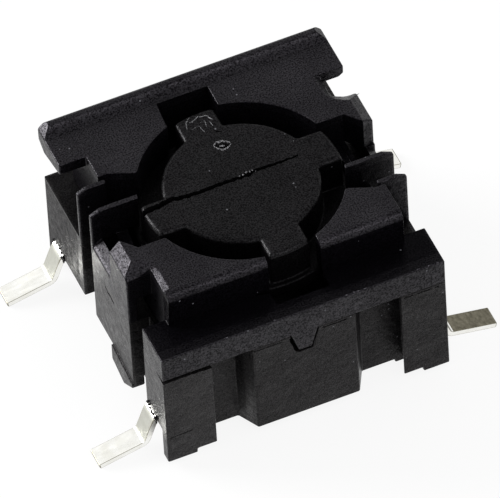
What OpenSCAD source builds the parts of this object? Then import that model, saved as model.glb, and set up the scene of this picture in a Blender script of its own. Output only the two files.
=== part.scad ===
// Square sealed push button switch for surface mounting, in millimetres.
// The origin is on the board, under the middle of the moulding. +Z is up, +Y is the hinge ridge side.

/* [Lower moulding] */
// Width of the moulding, left to right
body_w = 10; // [9.8:0.1:11]
// Depth of the moulding, front to back
body_d = 9.85; // [9.8:0.05:10.6]
// Height of the lower moulding
base_h = 4; // [3.8:0.1:4.4]
// Gap between the board and the lower moulding
stand = 0.2; // [0.1:0.05:0.3]
// Thickness of the floor of the contact chamber
floor_t = 1.4; // [1.3:0.05:1.5]
// Thinnest wall round the contact chamber, before the end faces are set back
chamber_wall = 1.025; // [1:0.005:1.05]

/* [End faces] */
// Width of the front left and rear right corner legs on the end faces
leg_w = 1.75; // [1.5:0.05:1.9]
// Width of the front right and rear left corner legs on the end faces
slim_leg_w = 1.62; // [1.5:0.02:1.9]
// Slant of the inner side of each corner leg
leg_cheek = 0.3; // [0:0.05:0.35]
// How far the end faces are set back between their legs and pads
recess_d = 0.75; // [0.4:0.05:0.75]
// Width of the middle pad of an end face
pad_w = 3.6; // [3:0.05:3.8]
// Width of the slanted cheek on each side of the middle pad
pad_cheek = 0.4; // [0.3:0.05:0.6]
// How far the middle pad stays above the underside of the legs
pad_lift = 0.14; // [0.05:0.01:0.4]
// Height of the nick under the inner end of a leg
nick_h = 0.18; // [0.05:0.01:0.3]
// Width of that nick
nick_w = 0.7; // [0.3:0.05:1]
// Thickness of the locating tab
tab_t = 0.35; // [0.3:0.01:0.4]
// Width of the locating tab at its root
tab_root_w = 0.95; // [0.7:0.05:1.2]
// Width of the locating tab at its tip
tab_tip_w = 0.47; // [0.3:0.01:0.6]
// Height of the locating tab
tab_h = 0.8; // [0.5:0.05:1]
// Clearance between the locating tab and its seat
tab_gap = 0.03; // [0.02:0.01:0.06]

/* [Side walls] */
// Thickness of the corner legs, front to back, below the side walls
leg_t = 0.42; // [0.3:0.02:0.5]
// Height of the side walls' lower edge above the legs' underside
relief_h = 1.25; // [1.2:0.01:1.3]
// How far the middle of the moulding is set back under the side walls
relief_d = 0.75; // [0.5:0.05:0.8]
// Distance from the middle line to the rear end of the tongue under the side wall
lobe_y = 0.45; // [0.3:0.05:0.6]
// Height of the tongue's lowest point above the legs' underside
lobe_h = 0.27; // [0.2:0.01:0.4]
// Length of the tongue's rising front end
lobe_toe = 0.75; // [0.6:0.05:0.9]
// Rise of the tongue's lower edge towards its rear end, and of its crease
lobe_rise = 0.27; // [0.1:0.01:0.35]
// Thickness of the tongue
lobe_t = 0.4; // [0.3:0.05:0.45]
// How far the tongue stands out of the side wall
lobe_out = 0.06; // [0.02:0.01:0.1]
// Depth of the slots in the side walls
slot_d = 0.72; // [0.5:0.02:0.75]
// Distance from the middle to the near wall of the narrow slot
slot_a_y = 0.95; // [0.9:0.05:1.2]
// Width of the narrow slot
slot_a_w = 0.9; // [0.7:0.05:1]
// Distance from the middle to the near wall of the wide slot
slot_b_y = 2.15; // [2.05:0.05:2.3]
// Width of the wide slot
slot_b_w = 1.15; // [0.9:0.05:1.2]
// Depth of the wide slot where it runs up through the upper moulding
plate_slot_d = 0.57; // [0.5:0.01:0.6]
// Radius of its inner corner there
slot_r = 0.35; // [0.2:0.05:0.4]
// Width of the bevel on its upper edges
slot_bevel_w = 0.5; // [0.3:0.02:0.55]
// Height of that bevel
slot_bevel_h = 0.35; // [0.2:0.02:0.45]

/* [Upper moulding] */
// Height of the plate's top above the underside of the lower moulding
body_h = 6.4; // [6.1:0.1:7]
// Thickness of the plate
plate_t = 1.35; // [1.2:0.05:1.5]
// Height of the front flange
lip_h = 1; // [0.8:0.05:1.1]
// Width of the front flange's top
lip_d = 1.3; // [1.15:0.05:1.4]
// Thickness of the plate's front wall
front_wall_t = 0.65; // [0.5:0.05:0.7]
// Radius of the rounded front edge of the plate
brow_r = 0.28; // [0.1:0.02:0.35]
// Width of the rear ridge
ridge_d = 1.8; // [1.6:0.05:1.9]
// Height of the rear ridge
ridge_h = 1.06; // [0.9:0.02:1.2]
// How far the ridge stands above the plate
ridge_rise = 0.3; // [0.1:0.01:0.4]
// How far the ridge reaches out over the wall under it
ridge_reach = 0.45; // [0.3:0.05:0.5]
// Width of the level strip in front of the ridge's slope
ridge_strip = 1.2; // [1:0.05:1.25]
// Width of the ridge's crown
ridge_crown = 0.3; // [0.26:0.02:0.4]
// How far the ridge's left end stands out of the side wall
ridge_over = 0.1; // [0:0.02:0.15]
// Length of the undercut below the ridge's right end
ridge_tail = 0.6; // [0.3:0.05:0.8]
// Thickness left over that undercut
ridge_tail_t = 0.35; // [0.3:0.05:0.5]
// Height of the slanted undercut below the ridge
ridge_chin = 0.29; // [0.2:0.01:0.35]
// Radius of the ridge's rounded rear edge
ridge_r = 0.18; // [0.1:0.01:0.25]
// Size of the bevel on each end of the ridge
ridge_bevel = 0.3; // [0.1:0.02:0.4]
// How far the plate is set in from the moulding's side beside the ridge
side_step = 0.85; // [0.8:0.05:0.9]

/* [Plate openings] */
// How far the plate reaches over the button's flange
flange_hold = 0.21; // [0.2:0.005:0.3]
// Width of the notches for the button's ears
notch_w = 1.85; // [1.8:0.05:1.9]
// Sideways offset of each notch from the middle line
notch_shift = 0.3; // [0.25:0.01:0.35]
// Depth of the notches beyond the round opening
notch_d = 0.825; // [0.8:0.005:0.85]

/* [Side openings] */
// Distance from the middle to the rear edge of a side opening, at the hole
flare_y = 1.8; // [1.7:0.02:1.9]
// Distance from the middle to the rear edge of a side opening, at its outer end
flare_end_y = 2.15; // [2.1:0.02:2.3]
// Width of the slanted stretch of that rear edge
flare_w = 0.8; // [0.6:0.05:0.9]
// Distance from the middle to the front edge of a side opening
sill_y = 1.2; // [1.1:0.02:1.3]
// Distance from the middle to the rear end of the shoulder beside the opening
shoulder_y = 0.66; // [0.5:0.02:0.8]
// Thickness of the guide walls in the side openings
guide_t = 0.17; // [0.12:0.01:0.2]
// How far the guide walls stop below the plate's top
guide_drop = 0.05; // [0.03:0.01:0.3]
// Thickness of the outer wall between the guide walls
outer_wall_t = 0.34; // [0.3:0.02:0.4]
// How far the outer wall stops below the plate's top
outer_wall_drop = 1.35; // [1.2:0.05:1.5]
// Bevel of the edges round the side openings
rim_bevel = 0.35; // [0.2:0.01:0.4]
// Width of the long bevel on the shoulder
shoulder_bevel = 0.4; // [0.3:0.02:0.5]
// Height of that bevel
shoulder_fall = 0.28; // [0.2:0.02:0.5]

/* [Button] */
// Gap between the round button top and the plate
button_gap = 0.805; // [0.7:0.005:0.9]
// Width of the button's ears
ear_w = 1.46; // [1.2:0.02:1.6]
// Sideways offset of each ear from the middle line
ear_shift = 0.26; // [0.2:0.01:0.3]
// How far the ears stand out of the round top
ear_l = 0.81; // [0.7:0.01:0.85]
// How far the button's top is below the plate's top
button_sink = 0.06; // [0.02:0.01:0.2]
// Bevel of the button's top edge
button_bevel = 0.1; // [0.05:0.01:0.15]
// Clearance between the button's flange and the contact chamber's wall
flange_side = 0.28; // [0.25:0.01:0.3]
// Thickness of that flange
flange_t = 0.5; // [0.4:0.05:0.55]
// Radius of the stem under the flange
stem_r = 1.3; // [1:0.05:1.5]
// Clearance round the flange, in the hollow under the plate
flange_play = 0.18; // [0.15:0.01:0.2]
// Clearance between the flange and the plate above it
flange_gap = 0.05; // [0.03:0.01:0.08]
// Travel of the button
travel = 1.2; // [1.1:0.05:1.25]

/* [Spring parts] */
// Distance from the contact chamber's wall to the snap dome's rim
dome_side = 1.4; // [1.3:0.05:1.6]
// Height of the snap dome
dome_h = 0.45; // [0.35:0.01:0.5]
// Thickness of the snap dome
dome_t = 0.08; // [0.06:0.01:0.1]
// Height left of the sealing boot when the button is fully pressed
boot_left = 0.6; // [0.58:0.01:0.64]
// Wall of the sealing boot's skirt
boot_wall = 0.3; // [0.2:0.02:0.35]
// Width of the sealing boot's rim on the floor
boot_rim_w = 0.75; // [0.6:0.05:0.8]
// Height of the sealing boot's rim
boot_rim_h = 0.5; // [0.4:0.05:0.6]
// Clearance round the boot's rim and over the dome
boot_gap = 0.05; // [0.03:0.01:0.08]

/* [Contact frames] */
// Thickness of the sheet metal
metal_t = 0.2; // [0.15:0.01:0.22]
// Width of a terminal
terminal_w = 0.75; // [0.6:0.05:0.8]
// Distance from the front terminals' centres to the front face
front_inset = 1.25; // [1.15:0.01:1.35]
// Distance from the rear terminals' centres to the rear face
rear_inset = 0.88; // [0.84:0.01:1.2]
// How far the end of a foot stands out of the side wall
toe_out = 2.05; // [1.8:0.05:2.3]
// Slope of the foot, in degrees
foot_slope = 12; // [5:1:15]
// Angle of the leg below the level, in degrees
leg_angle = 69; // [60:1:75]
// Radius of both bends at mid-thickness
bend_r = 0.28; // [0.2:0.01:0.32]
// Width of the buried strip that joins two terminals
strip_w = 0.5; // [0.4:0.02:0.55]
// Width of the contact tongues in the floor
tongue_w = 0.7; // [0.5:0.05:0.9]
// Radius of the contact points raised on the tongues
point_r = 0.3; // [0.2:0.02:0.34]
// Height of the raised centre contact point
point_h = 0.08; // [0.05:0.01:0.1]

/* [Hidden] */
$fn = 96;
// Overlap of joined shapes
eps = 0.01;
// How far cutting shapes run past what they cut
past = 1;
moulding_black = "#232227";
button_black = "#2b2a2e";
silicone_grey = "#6e6f72";
spring_steel = "#c9cac6";
tin_plate = "#d8d8cf";

half_w = body_w / 2;
half_d = body_d / 2;
chamber_r = min(half_w, half_d) - chamber_wall;
flange_r = chamber_r - flange_side;
hole_r = flange_r - flange_hold;
notch_reach = hole_r + notch_d;
button_r = hole_r - button_gap;
ear_reach = button_r + ear_l;
dome_r = chamber_r - dome_side;
front_terminal_y = -half_d + front_inset;
rear_terminal_y = half_d - rear_inset;
toe_x = half_w + toe_out;
under_z = stand;
split_z = under_z + base_h;
lip_z = split_z + lip_h;
top_z = under_z + body_h;
plate_z = top_z - plate_t;
ridge_top = top_z + ridge_rise;
ridge_z = ridge_top - ridge_h;
floor_z = under_z + floor_t;
relief_z = under_z + relief_h;
button_z = top_z - button_sink;
flange_z = plate_z - flange_gap;
stem_z = floor_z + travel + boot_left;
front_wall_y = -half_d + lip_d;
ridge_y = half_d - ridge_d;
rear_wall_y = half_d - ridge_reach;
side_x = half_w - side_step;
slot_b_end = -slot_b_y - slot_b_w;
guide_end = slot_a_y + slot_a_w;
guide_z = top_z - guide_drop;
outer_wall_z = top_z - outer_wall_drop;
terminal_z = floor_z;

// The children again, turned half a turn about the button's axis
module both_ways() {
    children();
    rotate([0, 0, 180]) children();
}

// The children again at each quarter turn
module quarter_turns() {
    for (a = [0:90:270]) rotate([0, 0, a]) children();
}

// A box between two corners
module span(low, high) {
    translate(low) cube(high - low);
}

// Points of an arc about c, from angle a0 to a1, in n steps
function arc(c, r, a0, a1, n = 8) =
    [for (i = [0:n]) c + r * [cos(a0 + (a1 - a0) * i / n), sin(a0 + (a1 - a0) * i / n)]];

// A shape drawn in Y and Z, carried along X from x0 to x1
module along_x(x0, x1) {
    translate([x0, 0, 0]) rotate([90, 0, 90]) linear_extrude(x1 - x0) children();
}

// A shape drawn in X and Z, carried along Y from y0 to y1
module along_y(y0, y1) {
    translate([0, y1, 0]) rotate([90, 0, 0]) linear_extrude(y1 - y0) children();
}

// The trapezium of the locating tab, grown by gap on its slanted sides and tip
module tab_outline(gap) {
    polygon([[-tab_root_w / 2 - gap, split_z + eps], [tab_root_w / 2 + gap, split_z + eps],
             [tab_root_w / 2 + gap, split_z], [tab_tip_w / 2 + gap, split_z - tab_h - gap],
             [-tab_tip_w / 2 - gap, split_z - tab_h - gap], [-tab_root_w / 2 - gap, split_z]]);
}

// One set-back field between a corner leg of width w and the middle pad, seen from above
module end_recess(w) {
    leg_x = -half_w + w;
    linear_extrude(base_h + 2 * past)
        polygon([[leg_x, -half_d - past], [leg_x, -half_d], [leg_x - leg_cheek, -half_d + recess_d],
                 [-pad_w / 2 - pad_cheek, -half_d + recess_d], [-pad_w / 2, -half_d],
                 [-pad_w / 2, -half_d - past]]);
}

// Everything cut from the lower moulding's front face
module end_face_cuts() {
    for (side = [0, 1]) mirror([side, 0, 0]) {
        w = side == 0 ? leg_w : slim_leg_w;
        translate([0, 0, under_z - past]) end_recess(w);
        span([-half_w + w - nick_w, -half_d - past, under_z - past],
             [-half_w + w + eps, -half_d + recess_d, under_z + nick_h]);
    }
    span([-half_w + leg_w - eps, -half_d - past, under_z - past],
         [half_w - slim_leg_w + eps, -half_d + 2 * recess_d, under_z + pad_lift]);
}

// The two slots in the left wall
module side_slots() {
    span([-half_w - past, slot_a_y, under_z - past],
         [-half_w + slot_d, slot_a_y + slot_a_w, split_z + past]);
    span([-half_w - past, slot_b_end, under_z - past], [-half_w + slot_d, -slot_b_y, split_z + past]);
}

// The room under the left side wall, between the corner legs
module side_relief() {
    span([-half_w - past, -half_d + leg_t, under_z - past], [-half_w + relief_d, half_d - leg_t, relief_z]);
}

// Outline of the tongue under the left side wall in Y and Z, up to rear_top and front_top
module lobe_outline(rear_top, front_top) {
    low = under_z + lobe_h;
    polygon([[-lobe_y, rear_top], [-lobe_y, low + lobe_rise], [-slot_b_y + lobe_toe, low],
             [-slot_b_y + lobe_toe / 2, low + lobe_rise], [-slot_b_y, low + 2 * lobe_rise],
             [-slot_b_y, front_top]]);
}

// Tongue that hangs from the left side wall beside the wide slot, with its face standing out a little
module side_lobe() {
    along_x(-half_w, -half_w + lobe_t) lobe_outline(relief_z + eps, relief_z + eps);
    along_x(-half_w - lobe_out, -half_w + eps) lobe_outline(relief_z, relief_z - lobe_rise);
}

// Lower moulding: floor, contact chamber, corner legs, pads and slotted side walls
module lower_housing() {
    color(moulding_black) difference() {
        span([-half_w, -half_d, under_z], [half_w, half_d, split_z]);
        translate([0, 0, floor_z]) cylinder(r = chamber_r, h = base_h);
        both_ways() {
            end_face_cuts();
            side_slots();
            side_relief();
        }
        along_y(-half_d - past, -half_d + tab_t + tab_gap) tab_outline(tab_gap);
        centre_contact_frame();
        outer_contact_frame();
    }
    color(moulding_black) both_ways() side_lobe();
}

// Side profile of the plate with its rounded front edge and its solid front wall, in Y and Z
module plate_profile() {
    polygon(concat([[front_wall_y, lip_z - eps]],
                   [[front_wall_y, top_z - brow_r]],
                   arc([front_wall_y + brow_r, top_z - brow_r], brow_r, 180, 90),
                   [[ridge_y + ridge_strip, top_z], [ridge_y + ridge_strip, plate_z],
                    [front_wall_y + front_wall_t, plate_z], [front_wall_y + front_wall_t, lip_z - eps]]));
}

// Side profile of the rear ridge: an inner slope, a rounded rear edge and an undercut, in Y and Z
module ridge_profile() {
    polygon(concat([[ridge_y, ridge_z + ridge_chin], [ridge_y, top_z]],
                   [[ridge_y + ridge_strip, top_z], [half_d - ridge_crown, ridge_top]],
                   arc([half_d - ridge_r, ridge_top - ridge_r], ridge_r, 90, 0),
                   [[half_d, ridge_z + ridge_chin], [half_d - ridge_reach, ridge_z]]));
}

// What the bevel takes off the upper edge of the ridge's right end
module ridge_end_bevel() {
    along_y(ridge_y - past, half_d + past)
        polygon([[half_w - ridge_bevel, ridge_top + eps], [half_w + past, ridge_top + eps],
                 [half_w + past, ridge_top - ridge_bevel - past], [half_w, ridge_top - ridge_bevel]]);
}

// Ridge with its bevelled ends and the undercut of its right end
module ridge() {
    difference() {
        along_x(-half_w - ridge_over, half_w) ridge_profile();
        ridge_end_bevel();
        translate([-ridge_over, 0, 0]) mirror([1, 0, 0]) ridge_end_bevel();
        along_y(ridge_y - past, half_d + past)
            polygon([[half_w - ridge_tail, ridge_z - eps], [half_w + past, ridge_z - eps],
                     [half_w + past, top_z - ridge_tail_t], [half_w, top_z - ridge_tail_t]]);
    }
}

// One guide wall in the plane X and Z, from the side face inward, with a bevelled outer top corner
module guide_wall(y0, inner_x) {
    along_y(y0, y0 + guide_t)
        polygon([[-half_w, split_z], [inner_x, split_z], [inner_x, guide_z],
                 [-half_w + rim_bevel, guide_z], [-half_w, guide_z - rim_bevel / 2]]);
}

// Outer wall of the left side opening, with a bevel on its top edge
module outer_wall() {
    along_y(-slot_b_y, slot_a_y - guide_t + eps)
        polygon([[-half_w, split_z], [-half_w + outer_wall_t, split_z],
                 [-half_w + outer_wall_t, outer_wall_z], [-half_w, outer_wall_z - outer_wall_t]]);
}

// Left shoulder: the part of the plate that reaches out to the side wall and stands on it, with a long bevel
module shoulder() {
    along_y(-slot_b_y, -shoulder_y)
        polygon([[-side_x + eps, plate_z], [-side_x + eps, top_z], [-half_w + shoulder_bevel, top_z],
                 [-half_w, top_z - shoulder_fall], [-half_w, split_z], [-half_w + outer_wall_t, split_z],
                 [-half_w + outer_wall_t, plate_z]]);
}

// Left side opening in the plate, which flares out from the button's hole to the side
module side_opening() {
    translate([0, 0, plate_z - eps]) linear_extrude(plate_t + past)
        polygon([[-hole_r / 2, flare_y], [-side_x + flare_end_y - flare_y + flare_w, flare_y],
                 [-side_x + flare_end_y - flare_y, flare_end_y], [-half_w - past, flare_end_y],
                 [-half_w - past, -shoulder_y - rim_bevel], [-half_w + shoulder_bevel, -shoulder_y],
                 [-side_x, -sill_y], [-hole_r / 2, -sill_y]]);
}

// Outline of the left wide slot in the plate, seen from above, grown inward and to the rear by grow
function slot_outline(grow) =
    concat([[-half_w - past, slot_b_end], [-half_w + plate_slot_d + grow, slot_b_end]],
           arc([-half_w + plate_slot_d - slot_r, -slot_b_y - slot_r], slot_r + grow, 0, 90, 6),
           [[-half_w - past, -slot_b_y + grow]]);

// The left wide slot as it runs up through the plate, with a round inner corner and bevelled edges
module plate_slot() {
    reach = 1.2;
    low = slot_outline(0);
    high = slot_outline(slot_bevel_w * reach);
    n = len(low);
    bevel_z = top_z - slot_bevel_h;
    translate([0, 0, split_z - eps]) linear_extrude(body_h) polygon(low);
    polyhedron(concat([for (p = low) [p[0], p[1], bevel_z]],
                      [for (p = high) [p[0], p[1], bevel_z + slot_bevel_h * reach]]),
               concat([[for (i = [0:n - 1]) i]], [[for (i = [n - 1:-1:0]) n + i]],
                      [for (i = [0:n - 1]) [(i + 1) % n, i, n + i, n + (i + 1) % n]]));
}

// The hollow under the plate, in which the button's flange runs
module flange_room() {
    translate([0, 0, split_z - eps]) cylinder(r = flange_r + flange_play, h = plate_z - split_z + eps);
}

// The round hole and the four ear notches in the plate
module button_openings() {
    translate([0, 0, split_z - eps]) cylinder(r = hole_r, h = body_h);
    both_ways()
        span([-notch_w / 2 - notch_shift, 0, split_z - eps],
             [notch_w / 2 - notch_shift, notch_reach, top_z + past]);
}

// Upper moulding: plate, front flange with its tab, rear ridge, skirt and slotted sides
module upper_housing() {
    color(moulding_black) difference() {
        union() {
            along_x(-side_x, side_x) plate_profile();
            span([-side_x, front_wall_y, split_z], [side_x, ridge_y + eps, lip_z]);
            span([-side_x, ridge_y, split_z], [side_x, rear_wall_y, ridge_z + eps]);
            for (side = [0, 1]) mirror([side, 0, 0])
                span([-side_x, front_wall_y, split_z], [-side_x + guide_t, ridge_y + eps, top_z - brow_r]);
            span([-half_w, -half_d, split_z], [half_w, front_wall_y + eps, lip_z]);
            span([-half_w, front_wall_y, split_z], [-side_x + eps, slot_b_end, lip_z]);
            span([side_x - eps, front_wall_y, split_z], [half_w, slot_b_end, lip_z]);
            along_y(-half_d, -half_d + tab_t) tab_outline(0);
            both_ways() shoulder();
        }
        both_ways() {
            side_opening();
            plate_slot();
        }
        flange_room();
        button_openings();
    }
    color(moulding_black) difference() {
        ridge();
        button_openings();
    }
    color(moulding_black) difference() {
        both_ways() {
            guide_wall(guide_end, -side_x + guide_t);
            guide_wall(slot_a_y - guide_t, -hole_r + guide_t);
            outer_wall();
        }
        flange_room();
        button_openings();
    }
}

// A disc of radius r from z0 up to the button's top, with a bevelled upper edge
module bevelled_disc(r, z0) {
    rotate_extrude()
        polygon([[0, z0], [r, z0], [r, button_z - button_bevel], [r - button_bevel, button_z],
                 [0, button_z]]);
}

// One of the button's ears, from the middle to the rear, with bevelled upper edges
module ear() {
    intersection() {
        bevelled_disc(ear_reach, flange_z - eps);
        translate([-ear_shift, 0, 0]) along_y(0, ear_reach + past)
            polygon([[-ear_w / 2, flange_z - eps], [ear_w / 2, flange_z - eps],
                     [ear_w / 2, button_z - button_bevel], [ear_w / 2 - button_bevel, button_z],
                     [-ear_w / 2 + button_bevel, button_z], [-ear_w / 2, button_z - button_bevel]]);
    }
}

// Button: round top with four ears, flange that the plate holds down, and stem
module button() {
    color(button_black) {
        bevelled_disc(button_r, flange_z - eps);
        quarter_turns() ear();
        translate([0, 0, flange_z - flange_t]) cylinder(r = flange_r, h = flange_t);
        translate([0, 0, stem_z]) cylinder(r = stem_r, h = flange_z - stem_z);
    }
}

// Half section of the boot: rim on the floor, slanted skirt, hub and the tip over the dome
module boot_section() {
    rim_r = chamber_r - boot_gap;
    rim_z = floor_z + boot_rim_h;
    tip_r = stem_r / 2;
    tip_z = floor_z + dome_h + dome_t + boot_gap;
    hub_z = stem_z - 2 * boot_wall;
    polygon([[0, tip_z], [tip_r, tip_z], [tip_r, hub_z], [stem_r, hub_z],
             [rim_r - boot_rim_w, rim_z - boot_wall / 2], [rim_r - boot_rim_w, floor_z], [rim_r, floor_z],
             [rim_r, rim_z], [rim_r - boot_wall, rim_z + boot_wall],
             [stem_r + boot_wall, stem_z - boot_wall], [stem_r, stem_z], [0, stem_z]]);
}

// Sealing boot: closes the contact chamber, lifts the button and presses the dome
module sealing_boot() {
    color(silicone_grey) rotate_extrude() boot_section();
}

// Radius of the sphere of which a cap of radius r and height h is cut
function cap_radius(r, h) = (r * r + h * h) / (2 * h);

// Snap dome: a thin spherical cap standing on its rim
module snap_dome() {
    outer_r = cap_radius(dome_r, dome_h);
    half_angle = asin(dome_r / outer_r);
    centre = [0, floor_z + dome_h + dome_t - outer_r];
    color(spring_steel) rotate_extrude()
        polygon(concat(arc(centre, outer_r, 90 - half_angle, 90, 16),
                       arc(centre, outer_r - dome_t, 90, 90 - half_angle, 16)));
}

// Foot and leg lengths at which the toe's underside is on the board at toe_x
wall_x = half_w - metal_t;
mid_z = terminal_z - metal_t / 2;
drop = mid_z - bend_r * (1 - cos(leg_angle)) - bend_r * (cos(foot_slope) - cos(leg_angle))
       - metal_t / 2 * cos(foot_slope);
reach = toe_x - wall_x - bend_r * sin(leg_angle) - bend_r * (sin(leg_angle) - sin(foot_slope))
        + metal_t / 2 * sin(foot_slope);
foot_l = (reach * sin(leg_angle) - drop * cos(leg_angle)) / sin(leg_angle - foot_slope);
leg_l = (drop - foot_l * sin(foot_slope)) / sin(leg_angle);

// Edge of the terminal's side profile, off millimetres aside of its middle line, from the wall to the toe
function terminal_edge(off) =
    let (c1 = [wall_x, mid_z - bend_r],
         p1 = c1 + bend_r * [sin(leg_angle), cos(leg_angle)],
         p2 = p1 + leg_l * [cos(leg_angle), -sin(leg_angle)],
         c2 = p2 + bend_r * [sin(leg_angle), cos(leg_angle)],
         p3 = c2 - bend_r * [sin(foot_slope), cos(foot_slope)],
         p4 = p3 + foot_l * [cos(foot_slope), -sin(foot_slope)])
    concat(arc(c1, bend_r + off, 90, 90 - leg_angle, 6),
           arc(c2, bend_r - off, 270 - leg_angle, 270 - foot_slope, 6),
           [p4 + off * [sin(foot_slope), cos(foot_slope)]]);

// Side profile of one terminal with its buried end, in X and Z
module terminal_profile() {
    upper = terminal_edge(metal_t / 2);
    lower = terminal_edge(-metal_t / 2);
    polygon(concat([[side_x - strip_w, terminal_z - metal_t], [side_x - strip_w, terminal_z]], upper,
                   [for (i = [len(lower) - 1:-1:0]) lower[i]]));
}

// Two terminals of one side and the buried strip that joins them, on the right
module terminal_pair() {
    for (y = [front_terminal_y, rear_terminal_y])
        along_y(y - terminal_w / 2, y + terminal_w / 2) terminal_profile();
    span([side_x - strip_w, front_terminal_y, terminal_z - metal_t], [side_x, rear_terminal_y, terminal_z]);
}

// Frame with the centre contact: left terminals, strip, tongue and raised point
module centre_contact_frame() {
    color(tin_plate) {
        mirror([1, 0, 0]) terminal_pair();
        span([-side_x, -tongue_w / 2, terminal_z - metal_t], [tongue_w / 2, tongue_w / 2, terminal_z]);
        translate([0, 0, terminal_z - eps]) cylinder(r = point_r, h = point_h + eps);
    }
}

// Frame with the dome's seat: right terminals, strip and two tongues under the dome's rim
module outer_contact_frame() {
    color(tin_plate) {
        terminal_pair();
        for (side = [-1, 1])
            span([-tongue_w / 2, side * dome_r - tongue_w / 2, terminal_z - metal_t],
                 [side_x, side * dome_r + tongue_w / 2, terminal_z]);
    }
}

lower_housing();
upper_housing();
button();
sealing_boot();
snap_dome();
centre_contact_frame();
outer_contact_frame();
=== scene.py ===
"""Looks of a square sealed push button switch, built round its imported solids. All lengths are in metres."""

import logging
from dataclasses import dataclass, field
from enum import Enum
from math import asin, cos, pi, radians, sin

import bmesh
import bpy
import numpy as np
from mathutils import Matrix, Vector


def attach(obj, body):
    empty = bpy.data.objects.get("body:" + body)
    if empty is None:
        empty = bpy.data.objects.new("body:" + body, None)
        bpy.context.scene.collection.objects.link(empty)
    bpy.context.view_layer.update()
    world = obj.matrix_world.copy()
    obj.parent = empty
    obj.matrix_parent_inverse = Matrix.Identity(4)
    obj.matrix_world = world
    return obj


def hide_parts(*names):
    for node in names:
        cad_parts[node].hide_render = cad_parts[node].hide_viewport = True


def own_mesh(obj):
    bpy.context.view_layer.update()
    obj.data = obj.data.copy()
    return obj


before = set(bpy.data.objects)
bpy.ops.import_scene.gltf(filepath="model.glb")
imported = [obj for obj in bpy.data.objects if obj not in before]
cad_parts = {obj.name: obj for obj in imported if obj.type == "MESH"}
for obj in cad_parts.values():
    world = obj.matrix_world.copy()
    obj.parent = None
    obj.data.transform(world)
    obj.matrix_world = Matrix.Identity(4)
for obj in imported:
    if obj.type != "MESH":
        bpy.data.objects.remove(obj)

LOG = logging.getLogger("switch")
MM = 0.001
HOUSING = "housing"
BUTTON = "button"

Spot = tuple[float, float]
Point = tuple[float, float, float]
Colour = tuple[float, float, float]
Box = tuple[Point, Point]
Limits = dict[str, Spot]


class Ramp(Enum):
    """How a noise value is spread over its two ends."""

    SOFT = (0.3, 0.7)
    FIRM = (0.38, 0.62)
    FULL = (0.0, 1.0)


# Materials


class Maths(Enum):
    """What a node works out from two values."""

    TIMES = "MULTIPLY"
    LARGER = "MAXIMUM"
    BELOW = "LESS_THAN"
    ABOVE = "GREATER_THAN"


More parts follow.
